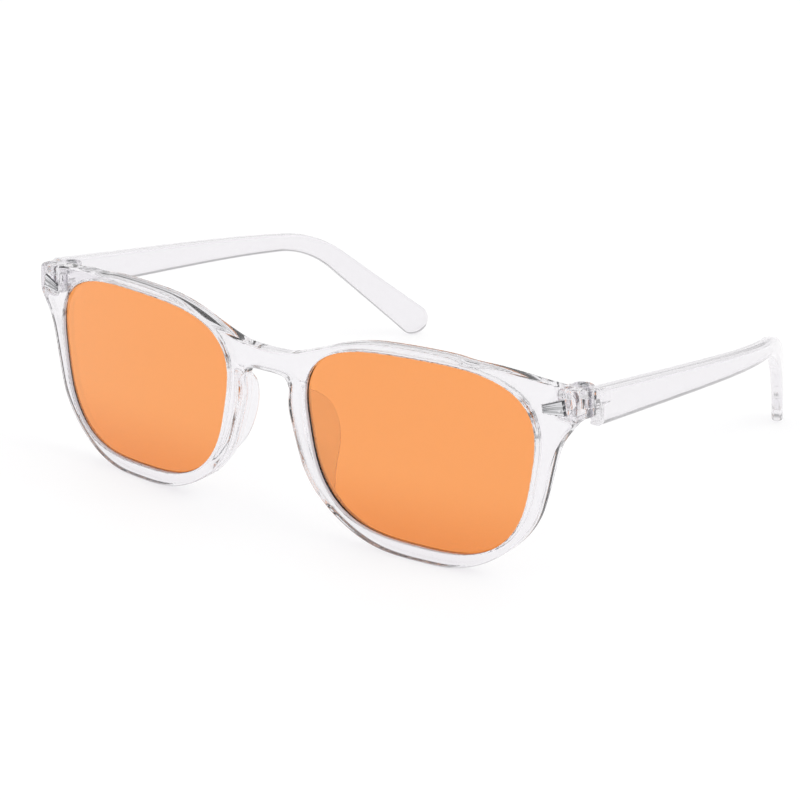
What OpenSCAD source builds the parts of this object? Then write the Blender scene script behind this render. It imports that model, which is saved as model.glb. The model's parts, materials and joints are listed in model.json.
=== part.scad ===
// Blue light glasses: a clear moulded frame with amber lenses, folding temples and wedge trims.
// Millimetres. +Z is up, +X is the wearer's left, and the lenses face -Y.
// The origin is on the table, midway between the temples and midway from front to tips.

/* [Lenses] */
// Width of each lens at its middle height
lens_w = 50.1; // [49.5:0.1:50.7]
// Height of each lens
lens_h = 38.7; // [38:0.1:39.2]
// Gap between the two lenses at their middle height
bridge_gap = 22.1; // [21.7:0.1:22.5]
// Thickness of each lens
lens_t = 2; // [1.8:0.1:2.2]
// Squareness of the lens outline: 2 is an ellipse, higher is boxier
lens_square = 3; // [2.6:0.1:3.4]
// How much wider the lens is at its top than at its middle, as a share
lens_taper = 0.124; // [0.1:0.002:0.14]
// How far the top of the lens leans towards the nose
lens_lean = 0.5; // [0:0.1:0.8]

/* [Front] */
// Radius of the front's base curve, about an upright axis
base_r = 337; // [300:1:400]
// Thickness of the front, from its front face to its back face
front_t = 3.4; // [3.2:0.1:3.8]
// How far the front face stands proud of the lenses
lens_recess = 0.8; // [0.5:0.1:1]
// Rim width above the lens
rim_top = 2; // [1.8:0.1:2.4]
// Rim width below the lens
rim_bottom = 3.3; // [3:0.1:3.5]
// Rim width at the temple side
rim_side = 2.8; // [2.6:0.1:3]
// Rim width at the nose side
rim_nose = 3.9; // [3.7:0.1:4.1]
// How much the rim thins at its four corners
rim_corner = 1.2; // [0.9:0.1:1.3]
// Height of the bridge at its middle
bridge_h = 4.8; // [4.4:0.1:5]

/* [Hinges] */
// Distance of each hinge screw from the middle of the frame
hinge_x = 66.8; // [66.6:0.1:67]
// Distance of each hinge screw behind the lenses
hinge_depth = 13.3; // [13.1:0.1:13.5]
// Outer radius of the hinge knuckles
knuckle_r = 2.3; // [2.2:0.05:2.35]
// Diameter of the hinge screw's shank
screw_d = 1.4; // [1.2:0.1:1.4]
// Diameter of the hinge screw's head
screw_head_d = 2.2; // [2:0.1:2.4]

/* [Temples] */
// Length of the straight part of a temple, from the hinge to the ear bend
shaft_len = 72.6; // [60:0.2:76]
// Length of the straight drop behind the ear bend
tip_len = 28.3; // [24:0.1:28.3]
// Radius of the ear bend
bend_r = 28.8; // [24:0.1:34]
// Slope of the straight part below level, in degrees
shaft_slope = 6.2; // [5:0.1:6.2]
// Slope of the drop below level, in degrees
tip_slope = 40.4; // [36:0.1:44]
// Angle that the tip turns in towards the head, in degrees
tip_turn = 27.6; // [20:0.1:28]
// Height of the temple at the hinge
temple_h = 7.6; // [7:0.1:7.8]
// Height of the temple at its slimmest, just before the ear bend
waist_h = 4.2; // [3.4:0.1:4.8]
// Height of the rounded tip
tip_h = 7.6; // [6:0.1:8]
// Thickness of the temple at the hinge
temple_t = 3.4; // [3:0.1:3.5]
// Thickness of the temple at its tip
tip_t = 2.6; // [2.4:0.1:3]

/* [Trims] */
// Length of the wedge trim
trim_len = 4.6; // [4.2:0.1:5]
// Height of the wedge trim at its narrow, inner end
trim_h_in = 1.6; // [1.4:0.1:2]
// Height of the wedge trim at its wide, outer end
trim_h_out = 3.2; // [2.8:0.1:3.5]
// Tilt of the wedge trim, with its outer end higher, in degrees
trim_tilt = 11; // [8:1:13]

/* [Hidden] */

clear_plastic = [0.93, 0.93, 0.96, 0.55];
amber = [0.98, 0.62, 0.34, 0.85];
steel = [0.62, 0.62, 0.64];
bright_metal = [0.82, 0.82, 0.84];

// Levels above the table
rest_cut = 0.12;
lens_z = rim_bottom + lens_h / 2 - rest_cut;
shaft_z = 36.68;
knuckle_bottom = 34.6;
slot_bottom = 36.3;
slot_top = 38.4;
knuckle_top = 40.1;
end_piece_bottom = 34.6;

// Overall depth, which sets the origin midway from front to tips
overall_depth = 123.1;
datum_y = lens_recess - overall_depth / 2;

// Clearances
lens_gap = 0.05;
groove_depth = 0.6;
groove_half = 0.5;
hinge_gap = 0.1;
bore_gap = 0.05;
sweep_gap = 0.15;
head_gap = 0.1;
nut_gap = 0.02;
thread_gap = 0.01;
trim_gap = 0.04;

lens_cx = bridge_gap / 2 + lens_w / 2;
lens_bow = 0.022;
outline_steps = 90;

// ---- Outlines: across and up, for the wearer's left ----

// A signed power, which makes the superellipse
function spow(v, p) = sign(v) * pow(abs(v), p);

// A point on the lens outline at angle t, grown outwards by g
function lens_point(t, g = 0) =
    let (x = spow(cos(t), 2 / lens_square), y = spow(sin(t), 2 / lens_square))
    [lens_cx + (lens_w / 2 + g) * x * (1 + lens_taper * y) - lens_lean * y,
     lens_z + (lens_h / 2 + g) * y * (1 + lens_bow * x)];

// Rim width at angle t: each side has its own width, and the corners are thinner
function rim_width(t) =
    let (c = cos(t), s = sin(t))
    (c > 0 ? rim_side : rim_nose) * c * c + (s > 0 ? rim_top : rim_bottom) * s * s
    - rim_corner * pow(sin(2 * t), 2);

// The unit normal of the lens outline at angle t
function lens_normal(t) =
    let (a = lens_point(t - 0.5), b = lens_point(t + 0.5), d = (b - a) / norm(b - a))
    [d[1], -d[0]];

function lens_outline(g = 0) =
    [for (i = [0:outline_steps - 1]) lens_point((i + 0.5) * 360 / outline_steps, g)];

function rim_point(t) = lens_point(t) + rim_width(t) * lens_normal(t);

// A smooth curve through the points p, with n steps between neighbours
function curve(p, n) =
    [for (i = [1:len(p) - 3], k = [0:n - 1])
        let (u = k / n, a = p[i - 1], b = p[i], c = p[i + 1], d = p[i + 2])
        0.5 * (2 * b + (c - a) * u + (2 * a - 5 * b + 4 * c - d) * u * u
               + (3 * b - a - 3 * c + d) * u * u * u)];

// Half of the front's outline, clockwise from the middle of the bridge: the brow rises to the
// rim, runs out level to the end piece's rounded corner, drops back into the rim, follows it
// round to the nose and arches under the bridge
bridge_top = 37.2;
bridge_low = bridge_top - bridge_h;
brow_rise = [[0, bridge_top], [6, bridge_top + 0.35], [11, bridge_top + 1.8], [17, bridge_top + 4]];
end_piece_edge = [[54, 42.9], [62, 41.9], [67.8, 41.1], [69.2, 40.1], [69.6, 37.5],
    [69.3, 34.6], [67.8, 32.3], [66.1, 29.5], [64.9, 25.5]];
nose_arch = [[6.2, 24], [5.7, 27.2], [5.9, 30], [4.9, bridge_low - 0.5], [2.5, bridge_low], [0, bridge_low]];
half_keys = concat(
    brow_rise, [for (t = [114:-8:74]) rim_point(t)],
    end_piece_edge, [for (t = [-4:-8:-172]) rim_point(t)], nose_arch);

function flip(p) = [-p[0], p[1]];

half_outline = concat(
    curve(concat([flip(half_keys[1])], half_keys, [flip(half_keys[len(half_keys) - 2])]), 3),
    [half_keys[len(half_keys) - 1]]);
front_outline = concat(half_outline,
    [for (i = [len(half_outline) - 2:-1:1]) flip(half_outline[i])]);

// ---- Shared shapes ----

// Both sides of a shape that is drawn for the wearer's left
module both_sides() {
    children();
    mirror([1, 0, 0]) children();
}

// Puts a piece drawn behind the lens datum into the part's own frame
module placed() {
    translate([0, datum_y, 0]) children();
}

module on_side(side) {
    placed() mirror([side == "right" ? 1 : 0, 0, 0]) children();
}

// Blocks and cylinders that only cut reach well past the whole frame
reach = 30;
tall = 60;

// Carries an outline right through the front, from front to back
module through_front() {
    translate([0, reach / 2 + 5, 0]) rotate([90, 0, 0]) linear_extrude(height = reach) children();
}

// A curved sheet between depths a and b behind the lens datum, cut to the outline in children
module curved_sheet(a, b) {
    intersection() {
        through_front() children();
        translate([0, base_r, -1]) difference() {
            cylinder(r = base_r - a, h = tall, $fn = 720);
            translate([0, 0, -1]) cylinder(r = base_r - b, h = tall + 2, $fn = 720);
        }
    }
}

module at_hinge(z) {
    translate([hinge_x, hinge_depth, z]) children();
}

// ---- Front frame ----

butt_gap = 0.9;
butt_y = hinge_depth - butt_gap;
block_in = hinge_x - knuckle_r;
block_plan = [[block_in, 8], [68.8, 6.2], [69.4, 6.9], [70.7, butt_y], [block_in, butt_y]];
block_side = [[6, end_piece_bottom], [20, end_piece_bottom], [20, 39.6], [6, 41.1]];

// The end piece turns back to the hinge: a block whose top slopes down with the temple
module return_block() {
    intersection() {
        linear_extrude(height = tall) polygon(block_plan);
        rotate([90, 0, 90]) linear_extrude(height = 2 * tall) polygon(block_side);
    }
}

// The two fixed knuckles, with straight sides running into the block
module fixed_knuckles() {
    at_hinge(knuckle_bottom) cylinder(r = knuckle_r, h = knuckle_top - knuckle_bottom, $fn = 48);
    translate([block_in, butt_y - 1, knuckle_bottom])
        cube([2 * knuckle_r, hinge_depth - butt_y + 1, knuckle_top - knuckle_bottom]);
}

// The lens opening, with the groove that the lens's edge snaps into
module lens_seat() {
    through_front() polygon(lens_outline());
    curved_sheet(lens_t / 2 - groove_half - lens_gap, lens_t / 2 + groove_half + lens_gap)
        polygon(lens_outline(groove_depth + lens_gap));
}

// The tongue's slot, the screw's bore, the seat for its head and the pocket for its nut
module hinge_cuts() {
    at_hinge(slot_bottom)
        cylinder(r = knuckle_r + sweep_gap, h = slot_top - slot_bottom, $fn = 48);
    at_hinge(0) cylinder(d = screw_d + 2 * bore_gap, h = tall, $fn = 32);
    at_hinge(screw_seat) cylinder(r = screw_head_d / 2 + head_gap, h = tall, $fn = 32);
    at_hinge(knuckle_bottom - 1) cylinder(r = nut_r + nut_gap, h = nut_h + 1, $fn = 32);
}

// Saddle nose pad: a thin wing moulded onto the back of the rim, skinned over level sections.
// Each section runs from a root in the rim to the wing's free edge: [z, root x, edge x, edge depth]
pad_root_depth = 1.6;
pad_sections = [[29.8, 7.9, 8.8, 3.5], [28.2, 7.9, 9.3, 5.9], [25.5, 8, 10.2, 8.3], [21.5, 8.5, 11, 9.4],
    [17.5, 9.8, 11.6, 8.9], [14, 11.6, 12.2, 7.2], [11.6, 13.2, 13.3, 5.2], [9.6, 14.9, 14.7, 3.7],
    [8.4, 16, 15.9, 2.9]];
pad_t = 1.6;

function pad_ring(p) =
    let (root = [p[1], pad_root_depth], edge = [p[2], p[3]], along = (edge - root) / norm(edge - root),
         half = norm(edge - root) / 2, mid = (root + edge) / 2)
    [for (c = section(half, pad_t / 2))
        [mid[0] + c[0] * along[0] - c[1] * along[1], mid[1] + c[0] * along[1] + c[1] * along[0], p[0]]];

module nose_pad() {
    skin([for (p = pad_sections) pad_ring(p)]);
}

module trim_pocket() {
    wedge_solid(-front_t, trim_floor, trim_gap);
    for (x = trim_pins_x)
        translate([x, 0, trim_z])
            rotate([-90, 0, 0]) cylinder(r = trim_pin_r + bore_gap, h = trim_pin_end + hinge_gap, $fn = 24);
}

module front_frame() {
    color(clear_plastic)
    placed()
    difference() {
        union() {
            curved_sheet(-lens_recess, front_t - lens_recess) polygon(front_outline);
            both_sides() {
                return_block();
                fixed_knuckles();
                nose_pad();
            }
        }
        both_sides() {
            lens_seat();
            hinge_cuts();
            trim_pocket();
        }
        // the two rims rest on small flats
        translate([-2 * tall, -reach, -tall]) cube([4 * tall, 2 * reach, tall]);
    }
}

// ---- Lenses ----

module lens(side) {
    color(amber)
    on_side(side) {
        curved_sheet(0, lens_t) polygon(lens_outline(-lens_gap));
        // the edge is stepped to a tongue that sits in the rim's groove
        curved_sheet(lens_t / 2 - groove_half, lens_t / 2 + groove_half)
            polygon(lens_outline(groove_depth));
    }
}

// ---- Temples ----

temple_cx = 69.9;
temple_front = butt_y + hinge_gap;
curl_start = 0.008;
curl_end = tan(tip_turn);
curl_y = temple_front + 73.2;
curl_len = 19.4;
swell = 1.2;
tip_thin = 0.6;
least_share = 0.0004;

// Plan slope of the temple at depth y: it runs straight, then curls smoothly in to the head
function tanh(v) = (exp(v) - exp(-v)) / (exp(v) + exp(-v));
function plan_slope(y) = curl_start + (curl_end - curl_start) * (1 + tanh((y - curl_y) / curl_len)) / 2;

// Slope below level at distance s from the hinge: shaft, round ear bend, straight drop
bend_len = bend_r * (tip_slope - shaft_slope) * PI / 180;
function drop_angle(s) =
    shaft_slope + (tip_slope - shaft_slope) * min(1, max(0, (s - shaft_len) / bend_len));

// Height and thickness at distance s, up to the centre of the round tip
centre_len = shaft_len + bend_len + tip_len;
function body_h(s) = s < shaft_len
    ? temple_h + (waist_h - temple_h) * s / shaft_len
    : waist_h + (tip_h - waist_h) * pow((s - shaft_len) / (centre_len - shaft_len), swell);
function body_t(s) = temple_t + (tip_t - temple_t) * s / centre_len;

// Past the centre of the tip, the height closes in a half circle
function end_share(s) =
    s <= centre_len ? 1 : sqrt(max(least_share, 1 - pow((s - centre_len) / (tip_h / 2), 2)));

// Stations along the temple: [distance, x, y, z, plan angle, drop angle]
temple_start = -1.5;
shaft_step = 2.5;
tip_cap = [0.35, 0.65, 0.85, 0.96, 1];
station_s = concat(
    [for (s = [temple_start:shaft_step:centre_len - 1]) s], [centre_len],
    [for (k = tip_cap) centre_len + k * tip_h / 2]);

function next_station(p, s) =
    let (ds = s - p[0], plan = atan(plan_slope(p[2] + ds / 2)), drop = drop_angle((s + p[0]) / 2))
    [s, p[1] - ds * cos(drop) * sin(plan), p[2] + ds * cos(drop) * cos(plan),
     p[3] - ds * sin(drop), plan, drop];

first_station = [temple_start, temple_cx, temple_front + temple_start,
    shaft_z - temple_start * sin(shaft_slope), atan(curl_start), shaft_slope];
stations = [for (i = 0, p = first_station; i < len(station_s);
    i = i + 1, p = i < len(station_s) ? next_station(p, station_s[i]) : p) p];

// Rounded rectangle section, as shares of half the thickness and half the height
section_round = 0.9;
section_most = 0.95;
section_arc = [0, 45, 90];
function section(w, h) =
    let (r = min(section_round, w * section_most, h * section_most))
    [for (q = [0:3], a = section_arc)
        let (cx = (q == 0 || q == 3) ? 1 : -1, cy = q < 2 ? 1 : -1)
        [cx * (w - r) + r * cos(90 * q + a), cy * (h - r) + r * sin(90 * q + a)]];

function station_ring(p) =
    let (s = p[0], e = end_share(s), w = body_t(min(s, centre_len)) / 2 * (tip_thin + (1 - tip_thin) * e),
         h = body_h(min(s, centre_len)) / 2 * e,
         out = [cos(p[4]), sin(p[4]), 0],
         up = [-sin(p[4]) * sin(p[5]), cos(p[4]) * sin(p[5]), cos(p[5])])
    [for (c = section(w, h)) [p[1], p[2], p[3]] + c[0] * out + c[1] * up];

// A closed tube skinned over equal rings of points
module skin(rings) {
    n = len(rings[0]);
    m = len(rings);
    points = [for (r = rings, p = r) p];
    sides = [for (i = [0:m - 2], k = [0:n - 1])
        [i * n + k, i * n + (k + 1) % n, (i + 1) * n + (k + 1) % n, (i + 1) * n + k]];
    triangles = [for (f = sides, h = [0, 1]) h == 0 ? [f[0], f[1], f[2]] : [f[0], f[2], f[3]]];
    front_cap = [for (k = [n - 1:-1:0]) k];
    back_cap = [for (k = [0:n - 1]) (m - 1) * n + k];
    polyhedron(points = points, faces = concat(triangles, [front_cap, back_cap]));
}

// The tongue turns between the two fixed knuckles: a ring, and a leaf that joins it to the temple.
// The leaf's inner side is short, and a ramp runs from its end to the temple's inner face.
leaf_in = 0.8;
leaf_w = 3.4;
leaf_len = 5.5;
leaf_side = 2.2;
leaf_ramp = 2.8;

module hinge_tongue() {
    z = slot_bottom + hinge_gap;
    h = slot_top - slot_bottom - 2 * hinge_gap;
    at_hinge(z) cylinder(r = knuckle_r, h = h, $fn = 48);
    translate([hinge_x - leaf_in, hinge_depth, z])
    linear_extrude(h)
    polygon([[0, 0], [leaf_w, 0], [leaf_w, leaf_len], [leaf_ramp, leaf_len], [0, leaf_side]]);
}

module temple(side) {
    color(clear_plastic)
    on_side(side)
    difference() {
        union() {
            difference() {
                skin([for (p = stations) station_ring(p)]);
                // square butt face against the end piece
                translate([0, temple_front - reach, 0]) cube([2 * tall, reach, tall]);
                // room for the fixed knuckles
                at_hinge(0) cylinder(r = knuckle_r + sweep_gap, h = tall, $fn = 48);
            }
            hinge_tongue();
        }
        at_hinge(0) cylinder(d = screw_d + 2 * bore_gap, h = tall, $fn = 32);
    }
}

// ---- Hinge screws and nuts ----

screw_seat = knuckle_top - 0.35;
screw_head_h = 0.7;
screw_end = knuckle_bottom + 0.2;
slot_len = 1.8;
slot_w = 0.35;
slot_deep = 0.4;
nut_r = 1.25;
nut_h = 1.3;

module hinge_screw(side) {
    color(steel)
    on_side(side)
    difference() {
        union() {
            at_hinge(screw_end)
                cylinder(d = screw_d, h = screw_seat - screw_end + screw_head_h / 2, $fn = 32);
            at_hinge(screw_seat) cylinder(d = screw_head_d, h = screw_head_h, $fn = 32);
        }
        // crossed driver slots
        for (a = [0, 90])
            at_hinge(screw_seat + screw_head_h - slot_deep)
                rotate(a) translate([-slot_len / 2, -slot_w / 2, 0]) cube([slot_len, slot_w, 1]);
    }
}

module hinge_nut(side) {
    color(steel)
    on_side(side)
    difference() {
        at_hinge(knuckle_bottom) cylinder(r = nut_r, h = nut_h, $fn = 32);
        at_hinge(knuckle_bottom - 1) cylinder(r = screw_d / 2 + thread_gap, h = nut_h + 2, $fn = 32);
    }
}

// ---- Wedge trims ----

trim_cx = 65.4;
trim_z = 37.1;
trim_proud = -lens_recess - 0.35;
trim_floor = -lens_recess + 0.5;
trim_pin_r = 0.45;
trim_pins_x = [trim_cx - 1.2, trim_cx + 1.2];
trim_pin_start = 5.5;
trim_pin_end = 8.2;

// A wedge cut from a curved sheet between depths a and b, grown by g
module wedge_solid(a, b, g = 0) {
    half = trim_len / 2 + g;
    curved_sheet(a, b)
        translate([trim_cx, trim_z])
            rotate(trim_tilt)
                polygon([[-half, -trim_h_in / 2 - g], [half, -trim_h_out / 2 - g],
                         [half, trim_h_out / 2 + g], [-half, trim_h_in / 2 + g]]);
}

module wedge_trim(side) {
    color(bright_metal)
    on_side(side) {
        wedge_solid(trim_proud, trim_floor);
        // fixing pins behind the wedge
        for (x = trim_pins_x)
            translate([x, trim_pin_start, trim_z])
                rotate([-90, 0, 0]) cylinder(r = trim_pin_r, h = trim_pin_end - trim_pin_start, $fn = 24);
    }
}

front_frame();
lens("left");  // left_lens
lens("right");  // right_lens
temple("left");  // left_temple
temple("right");  // right_temple
hinge_screw("left");  // left_hinge_screw
hinge_screw("right");  // right_hinge_screw
hinge_nut("left");  // left_hinge_nut
hinge_nut("right");  // right_hinge_nut
wedge_trim("left");  // left_wedge_trim
wedge_trim("right");  // right_wedge_trim
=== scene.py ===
import json
import math

import bpy
import numpy as np
from mathutils import Matrix, Vector


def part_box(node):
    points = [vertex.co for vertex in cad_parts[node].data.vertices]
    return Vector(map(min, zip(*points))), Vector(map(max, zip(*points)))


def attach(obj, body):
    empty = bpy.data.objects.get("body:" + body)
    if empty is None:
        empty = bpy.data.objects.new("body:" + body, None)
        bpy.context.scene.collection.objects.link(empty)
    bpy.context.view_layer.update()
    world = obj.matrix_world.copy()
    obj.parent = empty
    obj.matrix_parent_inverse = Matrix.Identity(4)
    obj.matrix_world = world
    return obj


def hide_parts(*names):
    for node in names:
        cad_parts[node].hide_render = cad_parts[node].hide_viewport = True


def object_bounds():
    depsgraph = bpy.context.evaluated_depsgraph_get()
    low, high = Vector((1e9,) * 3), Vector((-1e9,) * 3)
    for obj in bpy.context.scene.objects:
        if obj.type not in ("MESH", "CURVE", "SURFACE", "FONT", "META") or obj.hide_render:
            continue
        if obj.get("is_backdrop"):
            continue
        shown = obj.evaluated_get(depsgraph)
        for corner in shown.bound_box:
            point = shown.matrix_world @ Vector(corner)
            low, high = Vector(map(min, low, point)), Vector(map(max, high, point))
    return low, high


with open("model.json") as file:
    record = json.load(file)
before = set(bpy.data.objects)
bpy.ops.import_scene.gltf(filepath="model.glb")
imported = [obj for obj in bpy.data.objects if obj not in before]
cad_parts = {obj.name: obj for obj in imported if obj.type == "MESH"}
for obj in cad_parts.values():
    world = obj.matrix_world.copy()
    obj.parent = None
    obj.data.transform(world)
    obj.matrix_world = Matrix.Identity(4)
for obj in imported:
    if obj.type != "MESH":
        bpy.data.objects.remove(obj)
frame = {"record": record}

cad_low, cad_high = (list(map(float, c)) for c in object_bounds())

# Sizes are in mm. Points are across (x), depth (y) and height (z), and depth is counted from the
# lens's front face at the middle of the pair. The left half is described and the right one mirrored.
MM = 0.001
GRID_STEP = 0.28

# ---------------------------------------------------------------- sizes of the front
# Lens: a squared oval, wider at the top, leaning to the nose and taller on its outer side
LENS_W, LENS_H, LENS_T, LENS_GAP = 50.1, 38.7, 2.0, 22.1
SQUARE, TAPER, LEAN, BOW = 3.0, 0.124, 0.5, 0.022

# Curved sheet that the front is cut from, and how far it stands before the lenses
BASE_R, FRONT_T, RECESS, EDGE_R = 337.0, 3.4, 0.8, 0.75

# Rim widths, the cut that gives the rims a flat to rest on, and the bridge
RIM_TOP, RIM_BOTTOM, RIM_SIDE, RIM_NOSE, RIM_CORNER = 2.0, 3.3, 2.8, 3.9, 1.2
REST_CUT = 0.12
BRIDGE_TOP, BRIDGE_H = 37.2, 4.8
BRIDGE_LOW = BRIDGE_TOP - BRIDGE_H
LENS_X = LENS_GAP / 2 + LENS_W / 2
LENS_Z = RIM_BOTTOM + LENS_H / 2 - REST_CUT

# Groove in each lens opening's wall, and the depth where the openings end
GROOVE_DEPTH, GROOVE_HALF, OPENING_END = 0.42, 1.25, FRONT_T + 0.6

# Hinge: heights of the knuckles and of the slot between them, then the screw and the nut
KNUCKLE_LOW, SLOT_LOW, SLOT_HIGH, KNUCKLE_HIGH = 34.6, 36.3, 38.4, 40.1
KNUCKLE_R, TURN_GAP, TONGUE_GAP = 2.3, 0.15, 0.1
SCREW_R, SCREW_GAP, HEAD_R, HEAD_GAP, HEAD_SUNK = 0.7, 0.05, 1.1, 0.1, 0.35
NUT_R, NUT_GAP, NUT_H = 1.25, 0.03, 1.3

# The CAD frame fixes where depth 0 is and where the hinges are
DATUM_Y = float(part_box("front_frame")[0][1]) / MM + RECESS
hinge = next(j for j in frame["record"]["behaviour"]["joints"] if j["name"] == "left_temple_fold")
HINGE_X = hinge["pos_m"][0] / MM
HINGE_Y = hinge["pos_m"][1] / MM - DATUM_Y
BUTT_Y = HINGE_Y - 0.9

# Outline of the front, in order round its left half: brow, end piece and the arch under the bridge
BROW = [[0, BRIDGE_TOP], [6, BRIDGE_TOP + 0.35], [11, BRIDGE_TOP + 1.8], [17, BRIDGE_TOP + 4]]
END_PIECE = [[54, 42.9], [62, 41.9], [67.8, 41.1], [69.2, 40.1], [69.6, 37.5],
             [69.3, 34.6], [67.8, 32.3], [66.1, 29.5], [64.9, 25.5]]
ARCH = [[6.2, 24], [5.7, 27.2], [5.9, 30], [4.9, BRIDGE_LOW - 0.5], [2.5, BRIDGE_LOW], [0, BRIDGE_LOW]]

# End piece's return to the hinge in plan, where its top starts to fall and how steeply
SHOULDER, OUTER_CORNER, BUTT_CORNER, INNER_START = (68.8, 6.2), (69.4, 6.9), (70.7, BUTT_Y), 8
BLOCK_TOP, BLOCK_FALL_FROM, BLOCK_FALL = 41.1, 6, 1.5 / 14
NECK_LEN = 3.0

# Radii of rounded edges, then the widths over which shapes blend
TOP_R, UNDER_R, FACE_R = 0.8, 1.0, 0.25
SHOULDER_BLEND, CORNER_BLEND, KNUCKLE_BLEND = 0.6, 1.0, 0.3
BLOCK_BLEND, PAD_BLEND, OPENING_BLEND, REST_BLEND = 0.9, 1.4, 0.16, 0.05

# Nose pad from its top to its bottom: height, root across, edge across, edge depth
PAD_KEYS = np.array([
    [31, 7.9, 8.2, 1.4],
    [29.8, 7.9, 8.8, 3.4],
    [28.2, 7.9, 9.3, 5.8],
    [25.5, 8, 10.2, 8.2],
    [21.5, 8.5, 11, 9.3],
    [17.5, 9.8, 11.6, 8.8],
    [14, 11.6, 12.2, 7.1],
    [11.6, 13.2, 13.3, 5.1],
    [9.6, 14.9, 14.7, 3.6],
    [8.4, 16, 15.9, 2.5],
    [7.4, 17, 17, 1.4]])
PAD_ROOT_DEPTH, PAD_ROOT_R, PAD_THINNING, PAD_SLOPE = 1.6, 0.85, 0.1, 0.9

# Wedge trim: its middle, its length, its width at each end, its tilt, its face and floor, its pins
TRIM_X, TRIM_Z, TRIM_LEN, TRIM_H_IN, TRIM_H_OUT, TRIM_TILT = 65.4, 37.1, 4.6, 1.6, 3.2, 11.0
TRIM_FACE, TRIM_FLOOR, TRIM_GAP = -RECESS - 0.35, -RECESS + 0.5, 0.05
PIN_R, PIN_X, PIN_START, PIN_END, PIN_BEVEL = 0.45, 1.2, 5.6, 8.2, 0.12


def metres(points):
    """Points in mm as metres in the CAD frame."""
    return (np.asarray(points, float) + [0, DATUM_Y, 0]) * MM


# ---------------------------------------------------------------- outlines
def signed_power(value, power):
    return np.sign(value) * np.abs(value) ** power


def lens_point(deg):
    """Point of the lens's outline, across and up, at an angle round it."""
    turn = np.radians(deg)
    across, up = signed_power(np.cos(turn), 2 / SQUARE), signed_power(np.sin(turn), 2 / SQUARE)
    return np.stack([LENS_X + LENS_W / 2 * across * (1 + TAPER * up) - LEAN * up,
                     LENS_Z + LENS_H / 2 * up * (1 + BOW * across)], -1)


def lens_normal(deg):
    """Direction straight out of the lens's outline."""
    along = lens_point(deg + 0.5) - lens_point(deg - 0.5)
    along /= np.linalg.norm(along, axis=-1, keepdims=True)
    return np.stack([along[..., 1], -along[..., 0]], -1)


def rim_point(deg):
    """Point of the rim's outer edge."""
    cos, sin = np.cos(np.radians(deg)), np.sin(np.radians(deg))
    beside = np.where(cos > 0, RIM_SIDE, RIM_NOSE) * cos * cos
    above = np.where(sin > 0, RIM_TOP, RIM_BOTTOM) * sin * sin
    width = beside + above - RIM_CORNER * np.sin(2 * np.radians(deg)) ** 2
    return lens_point(deg) + width[..., None] * lens_normal(deg)


def curve(points, steps):
    """A smooth curve through the points, with this many steps between neighbours."""
    points = np.asarray(points, float)
    u = (np.arange(steps) / steps)[None, :, None]
    a, b, c, d = (points[i:len(points) - 3 + i][:, None] for i in range(4))
    smooth = 0.5 * (2 * b + (c - a) * u + (2 * a - 5 * b + 4 * c - d) * u * u
                    + (3 * b - a - 3 * c + d) * u ** 3)
    return smooth.reshape(-1, points.shape[1])


def front_outline():
    # Degrees round the lens where the outline follows its rim
    over_lens, under_lens = np.arange(114.0, 73, -8), np.arange(-4.0, -173, -8)
    keys = np.array(BROW + rim_point(over_lens).tolist() + END_PIECE
                    + rim_point(under_lens).tolist() + ARCH)
    flip = np.array([-1, 1])
    half = curve(np.vstack([keys[1] * flip, keys, keys[-2] * flip]), 12)
    half = np.vstack([half, keys[-1]])
    return np.vstack([half, half[-2:0:-1] * flip])


class OutlineField:
    """Signed distance to a closed outline on a grid, read back with cubic B-splines."""
    LOW, HIGH, STEP = (-2, -2), (74, 47), 0.3

    def __init__(self, points):
        count = np.ceil((np.array(self.HIGH) - self.LOW) / self.STEP).astype(int) + 1
        x = self.LOW[0] + self.STEP * np.arange(count[0])[:, None]
        z = self.LOW[1] + self.STEP * np.arange(count[1])[None, :]
        nearest = np.full(count, np.inf)
        inside = np.zeros(count, bool)
        for a, b in zip(points, np.roll(points, -1, 0)):
            d = b - a
            k = np.clip(((x - a[0]) * d[0] + (z - a[1]) * d[1]) / (d @ d), 0, 1)
            nearest = np.minimum(nearest, (x - a[0] - k * d[0]) ** 2 + (z - a[1] - k * d[1]) ** 2)
            if a[1] != b[1]:
                level = (z >= min(a[1], b[1])) & (z < max(a[1], b[1]))
                inside ^= level & (x < a[0] + (z - a[1]) * d[0] / d[1])
        self.grid = np.sqrt(nearest) * np.where(inside, -1, 1)

    def __call__(self, x, z):
        x, z = np.broadcast_arrays(x, z)
        (i, across), (k, up) = (self.weights(v, axis) for axis, v in enumerate((x, z)))
        last = self.grid.shape[1] - 1
        total = 0.0
        for p in range(4):
            for q in range(4):
                total = total + across[p] * up[q] * self.grid[i + p - 1, np.minimum(k + q - 1, last)]
        return total

    def weights(self, value, axis):
        """The cell that each value falls in, and the spline's four weights there."""
        at = np.clip((value - self.LOW[axis]) / self.STEP, 1, self.grid.shape[axis] - 2.001)
        cell = np.floor(at).astype(int)
        u = at - cell
        return cell, [(1 - u) ** 3 / 6, (3 * u ** 3 - 6 * u * u + 4) / 6,
                      (-3 * u ** 3 + 3 * u * u + 3 * u + 1) / 6, u ** 3 / 6]


outline = front_outline()
# Only the points near the half that is meshed are needed
outline_field = OutlineField(outline[outline[:, 0] > -7])
opening_field = OutlineField(lens_point(np.arange(360) + 0.5))


# ---------------------------------------------------------------- distance fields
def smooth_min(a, b, blend):
    near = np.maximum(blend - np.abs(a - b), 0) / blend
    return np.minimum(a, b) - near * near * blend / 4


def smooth_max(a, b, blend):
    return -smooth_min(-a, -b, blend)


def rounded(a, b, radius):
    """The overlap of two shapes, with its edges rounded."""
    p, q = a + radius, b + radius
    return np.minimum(np.maximum(p, q), 0) + np.hypot(np.maximum(p, 0), np.maximum(q, 0)) - radius


def slab(value, low, high):
    return np.abs(value - (low + high) / 2) - (high - low) / 2


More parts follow.
